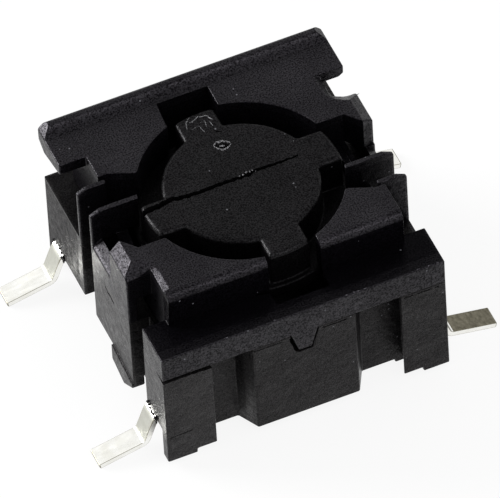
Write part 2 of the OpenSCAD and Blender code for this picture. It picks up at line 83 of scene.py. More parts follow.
@dataclass
class NodeGraph:
    """Places and links the shader nodes of one material or world.

    Args:
        owner: the material or world, whose own nodes are dropped.
    """

    owner: bpy.types.Material | bpy.types.World

    def __post_init__(self) -> None:
        """Empties the owner's node tree."""
        self.owner.use_nodes = True
        self.owner.node_tree.nodes.clear()

    def add(self, kind: str, **values: object) -> bpy.types.Node:
        """Adds a node and sets its properties.

        Args:
            kind: the node's type name.
            values: property names and values.

        Returns:
            The new node.
        """
        node = self.owner.node_tree.nodes.new(kind)
        for key, value in values.items():
            setattr(node, key, value)
        return node

    def wire(self, value: object, socket: bpy.types.NodeSocket) -> None:
        """Links an output to an input, or sets the input to a constant.

        Args:
            value: the output socket or the constant.
            socket: the input.
        """
        if isinstance(value, bpy.types.NodeSocket):
            self.owner.node_tree.links.new(value, socket)
        else:
            socket.default_value = value

    def feed(self, node: bpy.types.Node, **inputs: object) -> bpy.types.Node:
        """Sets or links a node's inputs by name, with an underscore for a space.

        Args:
            node: the node whose inputs are fed.
            inputs: input names with a constant or an output socket.

        Returns:
            The same node.
        """
        for key, value in inputs.items():
            self.wire(value, node.inputs[key.replace("_", " ")])
        return node

    def noise(self, scale: float, detail: float = 2.0, stretch: Point = (1, 1, 1)) -> bpy.types.NodeSocket:
        """A noise value on object coordinates.

        Args:
            scale: features per metre.
            detail: octaves of finer noise.
            stretch: how much each axis is squeezed before the noise.

        Returns:
            The noise value, about 0.5 in the mean.
        """
        place = self.add("ShaderNodeTexCoord").outputs["Object"]
        mapping = self.feed(self.add("ShaderNodeMapping"), Vector=place, Scale=stretch)
        noise = self.feed(self.add("ShaderNodeTexNoise"), Vector=mapping.outputs["Vector"], Scale=scale,
                          Detail=detail, Roughness=0.55)
        return noise.outputs["Fac"]

    def cells(self, scale: float) -> tuple[bpy.types.NodeSocket, bpy.types.NodeSocket]:
        """Distance to the nearest of scattered points and that point's own colour.

        Args:
            scale: points per metre along one axis.

        Returns:
            The distance and the colour.
        """
        place = self.add("ShaderNodeTexCoord").outputs["Object"]
        cells = self.feed(self.add("ShaderNodeTexVoronoi"), Vector=place, Scale=scale)
        return cells.outputs["Distance"], cells.outputs["Color"]

    def maths(self, kind: Maths, a: object, b: object) -> bpy.types.NodeSocket:
        """Works out one value from two.

        Args:
            kind: what is worked out. A comparison gives 1 where it holds, else 0.
            a: first value, a socket or a constant.
            b: second value, a socket or a constant.

        Returns:
            The result.
        """
        node = self.add("ShaderNodeMath", operation=kind.value)
        self.wire(a, node.inputs[0])
        self.wire(b, node.inputs[1])
        return node.outputs["Value"]

    def within(self, limits: Limits) -> bpy.types.NodeSocket:
        """Tests where a point of the piece lies.

        Args:
            limits: for each axis name the low and the high limit in millimetres.

        Returns:
            1 inside all limits, else 0.
        """
        place = self.add("ShaderNodeTexCoord").outputs["Object"]
        parts = self.feed(self.add("ShaderNodeSeparateXYZ"), Vector=place).outputs
        inside = 1.0
        for axis, (low, high) in limits.items():
            inside = self.maths(Maths.TIMES, inside, self.maths(Maths.ABOVE, parts[axis], low * MM))
            inside = self.maths(Maths.TIMES, inside, self.maths(Maths.BELOW, parts[axis], high * MM))
        return inside

    def span(self, value: bpy.types.NodeSocket, ramp: Ramp, low: float, high: float) -> bpy.types.NodeSocket:
        """Maps a noise value through a ramp onto low to high.

        Args:
            value: the noise value.
            ramp: the part of the noise's range that is spread.
            low: result at the ramp's start.
            high: result at the ramp's end.

        Returns:
            The mapped value.
        """
        start, end = ramp.value
        node = self.feed(self.add("ShaderNodeMapRange"), Value=value, From_Min=start, From_Max=end,
                         To_Min=low, To_Max=high)
        return node.outputs["Result"]

    def mix(self, share: bpy.types.NodeSocket, a: object, b: object) -> bpy.types.NodeSocket:
        """Mixes two colours.

        Args:
            share: how much of b shows.
            a: first colour or colour socket.
            b: second colour or colour socket.

        Returns:
            The mixed colour.
        """
        node = self.feed(self.add("ShaderNodeMix", data_type="RGBA"), Factor=share)
        for slot, value in ((6, a), (7, b)):
            self.wire(value if isinstance(value, bpy.types.NodeSocket) else (*value, 1.0), node.inputs[slot])
        return node.outputs[2]

    def bump(self, heights: list[tuple[bpy.types.NodeSocket, float]]) -> bpy.types.NodeSocket:
        """Stacks bump layers.

        Args:
            heights: pairs of a height value and the relief in metres from its 0 to its 1.

        Returns:
            The bumped normal.
        """
        below = {}
        for value, relief in heights:
            node = self.feed(self.add("ShaderNodeBump"), Height=value, Distance=relief, **below)
            below = {"Normal": self.feed(node, Strength=1.0).outputs["Normal"]}
        return below["Normal"]

    def finish(self, **inputs: object) -> bpy.types.Material:
        """Adds the surface shader with its inputs and the output.

        Args:
            inputs: the shader's input names with constants or sockets.

        Returns:
            The finished material.
        """
        shader = self.feed(self.add("ShaderNodeBsdfPrincipled"), **inputs)
        self.feed(self.add("ShaderNodeOutputMaterial"), Surface=shader.outputs["BSDF"])
        return self.owner


@dataclass(frozen=True)
class ShadeZone:
    """A part of a moulding whose sheen is dimmed as painted shade.

    Args:
        limits: for each axis name the low and the high limit in millimetres.
        sheen: factor on the specular level, below 1 as painted shade.
        roughness: factor on the roughness.
    """

    limits: Limits
    sheen: float
    roughness: float = 1.0


@dataclass(frozen=True)
class MouldedPlastic:
    """Black glass-filled thermoplastic with the fine grain of a spark-eroded mould.

    Args:
        name: the material's name.
        dark: colour of the pits.
        light: colour of the rubbed grain.
        tint: tint of the sheen.
        roughness: roughness of the smoothest and the dullest patches.
        shine: specular level of the pits and of the rubbed grain; the lower level in the pits is painted
            shade.
        grain: features of the grain per metre.
        patch: grains across a patch.
        smudge: grains across a smudge.
        relief: depth of the grain in metres.
        flecks: share of the cells that show a pale glass fleck.
        fleck: colour of a fleck.
        zones: parts whose sheen is dimmed as painted shade.
    """

    name: str
    dark: Colour
    light: Colour
    tint: Colour = (1.0, 0.96, 0.98)
    roughness: tuple[float, float] = (0.26, 0.42)
    shine: tuple[float, float] = (0.12, 0.8)
    grain: float = 20000
    patch: float = 6
    smudge: float = 30
    relief: float = 8e-6
    flecks: float = 0.012
    fleck: Colour = (0.1, 0.1, 0.11)
    zones: tuple[ShadeZone, ...] = ()

    def flecked(self, g: NodeGraph, tone: bpy.types.NodeSocket) -> bpy.types.NodeSocket:
        """Lays pale flecks over a colour, each a spot in the middle of a chosen cell.

        Args:
            g: the node graph.
            tone: the colour under the flecks.

        Returns:
            The colour with flecks.
        """
        distance, lot = g.cells(self.grain / 3)
        near = g.maths(Maths.BELOW, distance, 0.2)
        parts = g.feed(g.add("ShaderNodeSeparateColor"), Color=lot)
        chosen = g.maths(Maths.BELOW, parts.outputs["Red"], self.flecks)
        return g.mix(g.maths(Maths.TIMES, near, chosen), tone, self.fleck)

    def build(self) -> bpy.types.Material:
        """Returns the node material."""
        g = NodeGraph(bpy.data.materials.new(self.name))
        fine = g.noise(self.grain)
        patches = g.noise(self.grain / self.patch)
        smudge = g.noise(self.grain / self.smudge)
        tone = self.flecked(g, g.mix(g.span(fine, Ramp.FIRM, 0.0, 1.0), self.dark, self.light))
        rough = g.span(patches, Ramp.SOFT, *self.roughness)
        dim = g.span(smudge, Ramp.SOFT, 0.8, 1.15)
        # The grain is real; the lower sheen in its pits is painted shade.
        shine = g.maths(Maths.TIMES, g.span(fine, Ramp.FIRM, *self.shine), dim)
        # Painted shade: each zone dims the sheen where that part of the moulding lies in shade.
        for zone in self.zones:
            inside = g.within(zone.limits)
            shine = g.maths(Maths.TIMES, shine, g.span(inside, Ramp.FULL, 1.0, zone.sheen))
            rough = g.maths(Maths.TIMES, rough, g.span(inside, Ramp.FULL, 1.0, zone.roughness))
        normal = g.bump([(smudge, self.relief * 4), (patches, self.relief * 2), (fine, self.relief)])
        return g.finish(Base_Color=tone, Roughness=rough, Normal=normal, IOR=1.3, Specular_IOR_Level=shine,
                        Specular_Tint=(*self.tint, 1.0))


@dataclass(frozen=True)
class TinPlate:
    """Bright tin plate on brass sheet, with rolling lines and dull patches.

    Args:
        name: the material's name.
        bright: colour of the clean plate.
        dull: colour of the oxidised patches.
        roughness: roughness of the clean plate and of the patches.
        grain: patches per metre.
    """

    name: str
    bright: Colour
    dull: Colour
    roughness: tuple[float, float]
    grain: float = 2500

    def build(self) -> bpy.types.Material:
        """Returns the node material."""
        g = NodeGraph(bpy.data.materials.new(self.name))
        lines = g.noise(6000, 3.0, (0.15, 1, 1))
        patches = g.noise(self.grain, 3.0, (1, 0.6, 1))
        fine = g.noise(26000, 2.0)
        tone = g.mix(g.span(patches, Ramp.SOFT, 0.0, 0.8), self.bright, self.dull)
        rough = g.span(lines, Ramp.SOFT, *self.roughness)
        normal = g.bump([(patches, 3e-6), (lines, 1.2e-6), (fine, 0.8e-6)])
        return g.finish(Base_Color=tone, Roughness=rough, Normal=normal, Metallic=1.0)


@dataclass(frozen=True)
class Silicone:
    """Satin black silicone with a dusty bloom.

    Args:
        name: the material's name.
        colour: base colour.
    """

    name: str
    colour: Colour

    def build(self) -> bpy.types.Material:
        """Returns the node material."""
        g = NodeGraph(bpy.data.materials.new(self.name))
        bloom = g.noise(1500, 3.0)
        fine = g.noise(18000, 2.0)
        pale = tuple(min(1.0, c * 1.5) for c in self.colour)
        tone = g.mix(g.span(bloom, Ramp.SOFT, 0.0, 0.6), self.colour, pale)
        rough = g.span(bloom, Ramp.SOFT, 0.45, 0.65)
        return g.finish(Base_Color=tone, Roughness=rough, Normal=g.bump([(fine, 2e-6)]), IOR=1.3)


# Meshes


CAD_MERGE = 2e-7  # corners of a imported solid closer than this, in metres, are one
GRID_MERGE = 1e-7  # points of a new surface closer than this, in metres, are one
JOIN_ANGLE = radians(0.6)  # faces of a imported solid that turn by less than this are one
EDGE_SHARE = 0.42  # a rounding takes at most this share of the shortest edge at its corners
STRIP = 0.055 * MM  # planes narrower than this are roundings
NORMAL_STEPS = 200  # steps per unit in which the faces' normals are told apart
PLACE_STEPS = 5e5  # steps per metre in which the planes' places are told apart
FACET_ANGLES = (radians(0.5), radians(26))  # wide neighbours that turn by less or more form no curve
SMOOTH_ANGLE = radians(50)  # faces that turn by more than this never run into each other
LIFT = 0.06 * MM  # a cutter stands out of its face by this much


def lies_in(place: Vector, box: Box) -> bool:
    """Whether a place in metres lies in a box that is given in millimetres."""
    low, high = box
    return all(low[i] * MM <= place[i] <= high[i] * MM for i in range(3))


@dataclass(frozen=True)
class Stretch:
    """Edges that are rounded by another width than the rest.

    Args:
        box: box, in millimetres, that holds the edges' middles.
        width: width of their rounding in millimetres, or 0 to leave them sharp.
    """

    box: Box
    width: float


@dataclass(frozen=True)
class Rounding:
    """How wide the edges of a piece are rounded.

    Args:
        width: width of the rounding in millimetres.
        stretches: edges with another width.
        segments: facets across the rounding.
    """

    width: float = 0.05
    stretches: tuple[Stretch, ...] = ()
    segments: int = 4

    def at(self, place: Vector) -> float:
        """The width that is wanted at a place, in metres."""
        for stretch in self.stretches:
            if lies_in(place, stretch.box):
                return stretch.width * MM
        return self.width * MM

    def widest(self) -> float:
        """The widest rounding of all, in metres."""
        return max([self.width] + [stretch.width for stretch in self.stretches]) * MM

    def weigh(self, mesh: bmesh.types.BMesh, angle: float = radians(24)) -> None:
        """Gives each sharp edge its bevel weight: the wanted width over the widest.

        Beside short edges the width shrinks to EDGE_SHARE times the shortest of them.

        Args:
            mesh: the mesh, with its flat faces already joined.
            angle: edges that turn by more than this many radians are sharp.
        """
        layer = mesh.edges.layers.float.new("bevel_weight_edge")
        for edge in mesh.edges:
            if len(edge.link_faces) != 2 or edge.calc_face_angle(0.0) <= angle:
                continue
            wanted = self.at((edge.verts[0].co + edge.verts[1].co) / 2)
            if wanted <= 0:
                continue
            near = [other.calc_length() for v in edge.verts for other in v.link_edges if other is not edge]
            room = EDGE_SHARE * min(near + [edge.calc_length()])
            edge[layer] = min(wanted, room) / self.widest()


def rounded_copy(node: str, name: str, rounding: Rounding, finishes: tuple[bpy.types.Material, ...] = ()
                 ) -> bpy.types.Object:
    """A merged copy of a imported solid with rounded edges.

    Args:
        node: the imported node's name.
        name: the new piece's name.
        rounding: how its edges are rounded.
        finishes: materials, of which the second goes to the rounded edges where there are several.

    Returns:
        The new object, in the frame's place.
    """
    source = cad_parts[node]
    mesh = bmesh.new()
    mesh.from_mesh(source.data)
    bmesh.ops.remove_doubles(mesh, verts=mesh.verts, dist=CAD_MERGE)
    bmesh.ops.dissolve_limit(mesh, angle_limit=JOIN_ANGLE, verts=mesh.verts, edges=mesh.edges)
    rounding.weigh(mesh)
    data = bpy.data.meshes.new(name)
    mesh.to_mesh(data)
    mesh.free()
    for finish in finishes:
        data.materials.append(finish)
    piece = bpy.data.objects.new(name, data)
    bpy.context.scene.collection.objects.link(piece)
    bevel = piece.modifiers.new("edge_rounding", "BEVEL")
    bevel.limit_method = "WEIGHT"
    bevel.width = rounding.widest()
    bevel.segments = rounding.segments
    bevel.use_clamp_overlap = False
    bevel.miter_outer = "MITER_ARC"
    if len(finishes) > 1:
        bevel.material = 1
    bpy.context.view_layer.update()
    settle(piece)
    return piece


def settle(piece: bpy.types.Object) -> None:
    """Applies a piece's modifiers.

    Args:
        piece: the object.
    """
    graph = bpy.context.evaluated_depsgraph_get()
    data = bpy.data.meshes.new_from_object(piece.evaluated_get(graph))
    piece.modifiers.clear()
    piece.data = data
    data.name = piece.name


def flat_faces(mesh: bmesh.types.BMesh, normals: np.ndarray, areas: np.ndarray) -> np.ndarray:
    """Finds the faces that lie in a wide plane and have no wide neighbour that is turned a little.

    Faces of one plane (equal normal and distance from the origin) count together. Their width is their joint
    area over the diagonal of their joint box.

    Args:
        mesh: the mesh.
        normals: the faces' normals.
        areas: the faces' areas.

    Returns:
        For each face whether it is flat.
    """
    places = [np.array([v.co[:] for v in face.verts]) for face in mesh.faces]
    away = np.einsum("ij,ij->i", normals, np.array([place.mean(axis=0) for place in places]))
    keys = np.round(np.column_stack([normals * NORMAL_STEPS, away * PLACE_STEPS])).astype(int)
    _, plane = np.unique(keys, axis=0, return_inverse=True)
    plane = plane.reshape(-1)
    count = plane.max() + 1
    low, high = np.full((count, 3), np.inf), np.full((count, 3), -np.inf)
    np.minimum.at(low, plane, np.array([place.min(axis=0) for place in places]))
    np.maximum.at(high, plane, np.array([place.max(axis=0) for place in places]))
    width = np.bincount(plane, areas, count) / np.linalg.norm(high - low, axis=1)
    wide = width[plane] > STRIP
    flat = wide.copy()
    least, most = FACET_ANGLES
    for edge in mesh.edges:
        if len(edge.link_faces) == 2:
            i, j = (face.index for face in edge.link_faces)
            if wide[i] and wide[j] and cos(most) < normals[i] @ normals[j] < cos(least):
                flat[i] = flat[j] = False
    return flat


def corner_normal(own: int, near: np.ndarray, normals: np.ndarray, areas: np.ndarray, flat: np.ndarray
                  ) -> np.ndarray:
    """The normal at one corner of a rounding or a curved face.

    It is the normal of the flat face there that turns least, or else the area-weighted mean of all faces
    there. Faces that turn by more than SMOOTH_ANGLE are left out.

    Args:
        own: the face that the corner belongs to.
        near: the faces that meet at the corner.
        normals: all faces' normals.
        areas: all faces' areas.
        flat: for each face whether it is flat.

    Returns:
        The corner's normal.
    """
    turn = normals[near] @ normals[own]
    near, turn = near[turn > cos(SMOOTH_ANGLE)], turn[turn > cos(SMOOTH_ANGLE)]
    if len(near) == 0:
        return normals[own]
    if flat[near].any():
        return normals[near[flat[near]][np.argmax(turn[flat[near]])]]
    mean = (normals[near] * areas[near, None]).sum(axis=0)
    return mean / max(np.linalg.norm(mean), 1e-20)


def shade(piece: bpy.types.Object, soft: Box | None = None) -> None:
    """Gives a piece its shading: flat faces keep one normal, and rounded and curved ones run into each other.

    Args:
        piece: the object.
        soft: box, in millimetres, in which every face counts as a rounding.
    """
    data = piece.data
    mesh = bmesh.new()
    mesh.from_mesh(data)
    mesh.faces.ensure_lookup_table()
    normals = np.array([face.normal[:] for face in mesh.faces])
    areas = np.array([face.calc_area() for face in mesh.faces])
    flat = flat_faces(mesh, normals, areas)
    if soft:
        for face in mesh.faces:
            if all(lies_in(v.co, soft) for v in face.verts):
                flat[face.index] = False
    found = []
    for face in mesh.faces:
        for loop in face.loops:
            near = np.array([other.index for other in loop.vert.link_faces])
            found.append(np.zeros(3) if flat[face.index] else
                         corner_normal(face.index, near, normals, areas, flat))
    mesh.free()
    data.shade_smooth()
    data.polygons.foreach_set("use_smooth", ~flat)
    data.normals_split_custom_set(np.array(found).tolist())


def surface(name: str, rows: np.ndarray, closed: bool = False) -> bpy.types.Object:
    """A piece from rows of rings: rows[j, k] is point k of row j, and each four neighbours make a face.

    The rings close on themselves. The first and the last row get a flat cap, unless the rows close too.

    Args:
        name: the piece's name.
        rows: points as an array of rows, ring points and three lengths.
        closed: the last row joins the first.

    Returns:
        The new object with faces that point outward.
    """
    count, ring = rows.shape[:2]
    j, k = np.meshgrid(np.arange(count if closed else count - 1), np.arange(ring), indexing="ij")
    after, beside = (j + 1) % count, (k + 1) % ring
    faces = np.stack([j * ring + k, j * ring + beside, after * ring + beside, after * ring + k], axis=-1)
    listed = faces.reshape(-1, 4).tolist()
    if not closed:
        listed += [list(range(ring))[::-1], [(count - 1) * ring + k for k in range(ring)]]
    mesh = bmesh.new()
    data = bpy.data.meshes.new(name)
    data.from_pydata(rows.reshape(-1, 3).tolist(), [], listed)
    mesh.from_mesh(data)
    bmesh.ops.remove_doubles(mesh, verts=mesh.verts, dist=GRID_MERGE)
    bmesh.ops.recalc_face_normals(mesh, faces=mesh.faces)
    mesh.to_mesh(data)
    mesh.free()
    piece = bpy.data.objects.new(name, data)
    bpy.context.scene.collection.objects.link(piece)
    return piece


def revolved(name: str, profile: np.ndarray, steps: int = 96) -> bpy.types.Object:
    """A profile of radii and heights turned about Z: the point (r, z) goes to (r cos a, r sin a, z).

    Args:
        name: the piece's name.
        profile: closed outline of (r, z) pairs in metres, in order.
        steps: points round the axis.

    Returns:
        The new object.
    """
    turn = np.linspace(0, 2 * pi, steps, endpoint=False)[:, None]
    rows = np.stack([profile[None, :, 0] * np.cos(turn), profile[None, :, 0] * np.sin(turn),
                     np.broadcast_to(profile[None, :, 1], (steps, len(profile)))], axis=-1)
    return surface(name, rows, closed=True)


def groove(name: str, path: np.ndarray, out: np.ndarray, half_widths: np.ndarray, depths: np.ndarray
           ) -> bpy.types.Object:
    """A V-shaped cutter along a path that lies on a face.

    At each point it is the point's width at the face, reaches the point's depth into it and stands LIFT out.

    Args:
        name: the cutter's name.
        path: points on the face.
        out: the face's outward direction.
        half_widths: half the groove's width at each point.
        depths: the groove's depth at each point.

    Returns:
        The cutter.
    """
    along = np.gradient(path, axis=0)
    along /= np.linalg.norm(along, axis=1, keepdims=True)
    side = np.cross(along, out)
    side /= np.linalg.norm(side, axis=1, keepdims=True)
    wide = half_widths[:, None] * side
    lift = LIFT * out
    deep = depths[:, None] * out
    slope = 1.0 + LIFT / depths[:, None]
    rows = np.stack([path - wide * slope + lift, path - deep, path + wide * slope + lift], axis=1)
    return surface(name, rows)


def rib(name: str, points: list[Point], width: float, height: float, seed: int) -> bpy.types.Object:
    """A ragged ridge of raised, whitened plastic on a face that looks up: a thin triangle along a path.

    The path has a point every 0.04 mm, each shifted by up to 0.012 mm. Width and height swell as a sine from
    end to end, times a random share, and the foot lies 0.01 mm under the face.

    Args:
        name: the piece's name.
        points: points on the face in millimetres.
        width: its full width in millimetres.
        height: how far it stands out in millimetres.
        seed: picks the raggedness.

    Returns:
        The new object.
    """
    dice = np.random.default_rng(seed)
    given = np.array(points)
    at = np.concatenate([[0], np.cumsum(np.linalg.norm(np.diff(given, axis=0), axis=1))])
    fine = np.linspace(0, at[-1], max(5, int(at[-1] / 0.04)))
    path = np.stack([np.interp(fine, at, given[:, i]) for i in range(3)], axis=1)
    path[:, :2] += dice.uniform(-0.012, 0.012, (len(fine), 2))
    along = np.gradient(path, axis=0)
    side = np.stack([along[:, 1], -along[:, 0], np.zeros(len(fine))], axis=1)
    side /= np.linalg.norm(side, axis=1, keepdims=True) + 1e-12
    swell = 0.35 + 0.65 * np.sin(np.linspace(0.15, pi - 0.15, len(fine)))
    swell *= dice.uniform(0.55, 1.0, len(fine))
    half = side * (width / 2 * swell)[:, None]
    low, peak = np.array([0, 0, -0.01]), np.stack([0 * fine, 0 * fine, height * swell], axis=1)
    return surface(name, np.stack([path - half + low, path + peak, path + half + low], axis=1) * MM)


def carve(piece: bpy.types.Object, cutters: list[bpy.types.Object]) -> None:
    """Cuts a piece by its cutters, one after the other, and drops the cutters.

    Args:
        piece: the object.
        cutters: closed pieces to take away.
    """
    for cutter in cutters:
        cut = piece.modifiers.new("cut", "BOOLEAN")
        cut.object = cutter
        cut.operation = "DIFFERENCE"
        cut.solver = "EXACT"
    bpy.context.view_layer.update()
    settle(piece)
    for cutter in cutters:
        bpy.data.objects.remove(cutter)


def lump(name: str, centre: Point, size: Point, seed: int, turn: float = 0.0) -> bpy.types.Object:
    """A ragged crumb: an ellipsoid whose radius swells by waves along its latitude and longitude.

    Args:
        name: the piece's name.
        centre: its middle in millimetres.
        size: its half lengths in millimetres.
        seed: picks the waves.
        turn: turn about Z in degrees.

    Returns:
        The new object.
    """
    dice = np.random.default_rng(seed)
    lat = np.linspace(-pi / 2 + 0.25, pi / 2 - 0.25, 6)[:, None]
    lon = np.linspace(0, 2 * pi, 11, endpoint=False)[None, :]
    phase = dice.uniform(0, 2 * pi, 4)
    swell = (1 + 0.22 * np.sin(2 * lon + phase[0]) * np.cos(lat)
             + 0.16 * np.sin(3 * lon + phase[1] + 2 * lat)
             + 0.12 * np.cos(5 * lon + phase[2]) * np.cos(3 * lat + phase[3]))
    ball = np.stack([np.cos(lat) * np.cos(lon), np.cos(lat) * np.sin(lon), np.sin(lat) * np.ones_like(lon)],
                    axis=-1)
    flat = swell[..., None] * ball * np.array(size)
    c, s = cos(radians(turn)), sin(radians(turn))
    rows = flat @ np.array([[c, s, 0], [-s, c, 0], [0, 0, 1]]) + np.array(centre)
    return surface(name, rows * MM)


def join(piece: bpy.types.Object, others: list[bpy.types.Object]) -> None:
    """Adds the meshes of other pieces to a piece and drops those pieces.

    Args:
        piece: the object that is kept.
        others: the objects whose meshes go into it.
    """
    mesh = bmesh.new()
    for part in (piece, *others):
        mesh.from_mesh(part.data)
    mesh.to_mesh(piece.data)
    mesh.free()
    for part in others:
        bpy.data.objects.remove(part)


def dress(piece: bpy.types.Object, finish: bpy.types.Material, slot: str, body: str, *nodes: str,
          soft: Box | None = None) -> None:
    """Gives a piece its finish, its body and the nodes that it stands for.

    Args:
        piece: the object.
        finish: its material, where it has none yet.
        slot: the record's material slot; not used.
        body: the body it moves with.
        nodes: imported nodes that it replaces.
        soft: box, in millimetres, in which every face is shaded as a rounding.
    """
    if not piece.data.materials:
        piece.data.materials.append(finish)
    shade(piece, soft=soft)
    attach(piece, body)
    if nodes:
        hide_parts(*nodes)
    LOG.info("%s: %d faces", piece.name, len(piece.data.polygons))


# The object


@dataclass
class Mouldings:
    """The lower and the upper moulding, with the flaws of their making.

    Args:
        split: height of the joint between them in millimetres.
        front: distance of the front face from the middle in millimetres.
        side: distance of the side faces from the middle in millimetres.
        lip: height of the front lip's top in millimetres.
        corner: width of the usual edge rounding in millimetres.
    """

    split: float = 4.2
    front: float = 4.925
    side: float = 5.0
    lip: float = 5.2
    corner: float = 0.05

    def line(self, name: str, points: list[Spot], width: float, depth: float, left: bool = False
             ) -> bpy.types.Object:
        """A groove on the front face or on the left face.

        Along the face at a millimetres it waves up and down by 0.12 width sin 40a, and its width is 0.85 plus
        0.15 sin 55a of the given one.

        Args:
            name: the cutter's name.
            points: places (x, z) on the front or (y, z) on the left, in millimetres.
            width: its full width in millimetres.
            depth: its depth in millimetres.
            left: whether it is on the left face.

        Returns:
            The cutter.
        """
        flat = np.array(points)
        at = np.linspace(0, len(points) - 1, 6 * len(points))
        a, z = (np.interp(at, np.arange(len(points)), flat[:, i]) for i in (0, 1))
        z = z + 0.12 * width * np.sin(40 * a)
        half = width / 2 * (0.85 + 0.15 * np.sin(55 * a)) * MM
        face = np.full_like(a, -self.side if left else -self.front)
        path = np.stack([face, a, z] if left else [a, face, z], axis=1) * MM
        out = np.array([-1.0, 0.0, 0.0] if left else [0.0, -1.0, 0.0])
        return groove(name, path, out, half, np.full_like(a, depth * MM))

    def joint_lines(self) -> list[bpy.types.Object]:
        """Cutters for the gap under the front lip, which is open on the left and else in dashes."""
        low = self.split - 0.1
        dashes = [("gap_right_a", 0.05, 0.15, [3.5, 3.85]),
                  ("gap_right_b", 0.055, 0.15, [3.95, 4.5]),
                  ("gap_right_c", 0.05, 0.15, [4.6, 4.75]),
                  ("pad_left", 0.05, 0.12, [-1.85, -1.5, -1.1, -0.8]),
                  ("pad_right", 0.06, 0.12, [0.62, 1.1, 1.5])]
        return ([self.line("gap_left", [(-self.side - 0.03, low + 0.05), (-3.2, low + 0.05)], 0.2, 0.6)]
                + [self.line(name, [(x, low) for x in places], width, depth)
                   for name, width, depth, places in dashes])

    def tab_lines(self) -> list[bpy.types.Object]:
        """Cutters for the gap round the locating tab, wider on its left."""
        flank = [(0.5, 4.15), (0.38, 3.76), (0.26, 3.36)]
        return [self.line("tab_left", [(-x, z) for x, z in flank], 0.2, 0.4),
                self.line("tab_tip", [(-0.27, 3.37), (0.0, 3.37), (0.27, 3.37)], 0.1, 0.3),
                self.line("tab_right", flank, 0.12, 0.4)]

    def flaws(self) -> list[bpy.types.Object]:
        """Cutters for the mark on the left leg and the crack on the left wall."""
        crack = [(-0.15, 4.02), (-0.33, 3.86), (-0.55, 3.91), (-0.83, 3.83)]
        return [self.line("mark", [(-4.9, 1.36), (-4.1, 1.4)], 0.045, 0.1),
                self.line("crack", crack, 0.1, 0.32, True)]

    def rags(self) -> list[bpy.types.Object]:
        """Torn plastic on the left face, along the tops of the two terminals: (x, y, z, size)."""
        places = [(-5.03, -3.44, 1.7, 0.07), (-5.03, -3.52, 1.64, 0.055), (-5.05, -3.6, 1.6, 0.05),
                  (-5.05, -3.66, 1.63, 0.05), (-5.06, -3.8, 1.6, 0.065), (-5.06, -3.94, 1.62, 0.06),
                  (-5.05, -4.08, 1.55, 0.09), (-5.04, -4.13, 1.42, 0.06), (-5.04, 3.62, 1.52, 0.1),
                  (-5.04, 3.58, 1.38, 0.06), (-5.04, 3.74, 1.62, 0.06), (-5.03, 3.94, 1.63, 0.04),
                  (-5.03, 4.2, 1.63, 0.035), (-5.03, 4.44, 1.6, 0.04)]
        return [lump(f"rag_{i}", (x, y, z), (0.6 * size, size, 0.8 * size), 70 + i)
                for i, (x, y, z, size) in enumerate(places)]

    def flash(self) -> list[bpy.types.Object]:
        """Crumbs of flash on the bevel of the left outer wall and along the lip's front edge."""
        bevel = [(-4.83, 0.6, 5.02), (-4.79, 0.42, 5.07), (-4.87, 0.2, 4.98), (-4.77, -0.02, 5.09),
                 (-4.84, -0.25, 5.01), (-4.75, -0.45, 5.11)]
        edge = [(1.55, -4.88), (1.78, -4.87), (1.95, -4.88), (2.2, -4.88), (4.1, -4.87), (4.45, -4.88),
                (4.75, -4.88), (-1.0, -4.87), (-2.7, -4.88)]
        return ([lump(f"flash_{i}", place, (0.05, 0.13, 0.05), i, 12 * i - 30)
                 for i, place in enumerate(bevel)]
                + [lump(f"lip_flash_{i}", (x, y, self.lip), (0.06, 0.02, 0.025), 50 + i, i % 3)
                   for i, (x, y) in enumerate(edge)])

    def lower_finish(self) -> MouldedPlastic:
        """Black of the lower moulding, with painted shade: its sheen is dimmed inside, at the rear left and
        on the front pad.
        """
        # Painted shade: dimmer sheen inside the walls, on the shelf and the left face at the rear left, and
        # on the front pad under the lip.
        zones = (ShadeZone({"X": (-4.9, 4.9), "Y": (-4.5, 4.88)}, 0.5),
                 ShadeZone({"X": (-4.96, -4.0), "Y": (2.5, 4.86), "Z": (4.1, 4.3)}, 0.45),
                 ShadeZone({"X": (-5.1, -4.96), "Y": (2.2, 5.0), "Z": (0.0, 4.15)}, 0.72, 1.5),
                 ShadeZone({"X": (-1.9, 4.95), "Y": (-5.1, -4.4), "Z": (0.0, 4.4)}, 0.68))
        return MouldedPlastic("lower_moulding_black", (0.001, 0.0009, 0.001), (0.008, 0.0074, 0.0078),
                              relief=12e-6, shine=(0.24, 0.7), grain=24000, zones=zones)

    def upper_finish(self) -> MouldedPlastic:
        """Black of the upper moulding, with painted shade: its sheen is dimmed on the lip's top, which is
        also smoother, and inside.
        """
        # Painted shade: dimmer sheen on the lip's top, below the front wall, and inside the walls.
        zones = (ShadeZone({"Y": (-4.86, -3.2), "Z": (4.0, 6.3)}, 0.34, 0.6),
                 ShadeZone({"X": (-4.9, 4.9), "Y": (-4.5, 4.88), "Z": (4.0, 6.25)}, 0.5))
        return MouldedPlastic("upper_moulding_black", (0.0008, 0.0007, 0.001), (0.0026, 0.0023, 0.0032),
                              (0.94, 0.89, 1.0), zones=zones)

    def build_base(self) -> None:
        """Builds and dresses the lower moulding, with its top edges left sharp for the joint."""
        joint = Stretch(((-5.3, -4.8, self.split - 0.1), (5.3, 5.0, self.split + 0.1)), 0.0)
        base = rounded_copy("lower_housing", "lower_housing_skin", Rounding(self.corner, (joint,)))
        carve(base, self.joint_lines() + self.tab_lines() + self.flaws())
        join(base, self.rags())
        dress(base, self.lower_finish().build(), "moulding", HOUSING, "lower_housing")

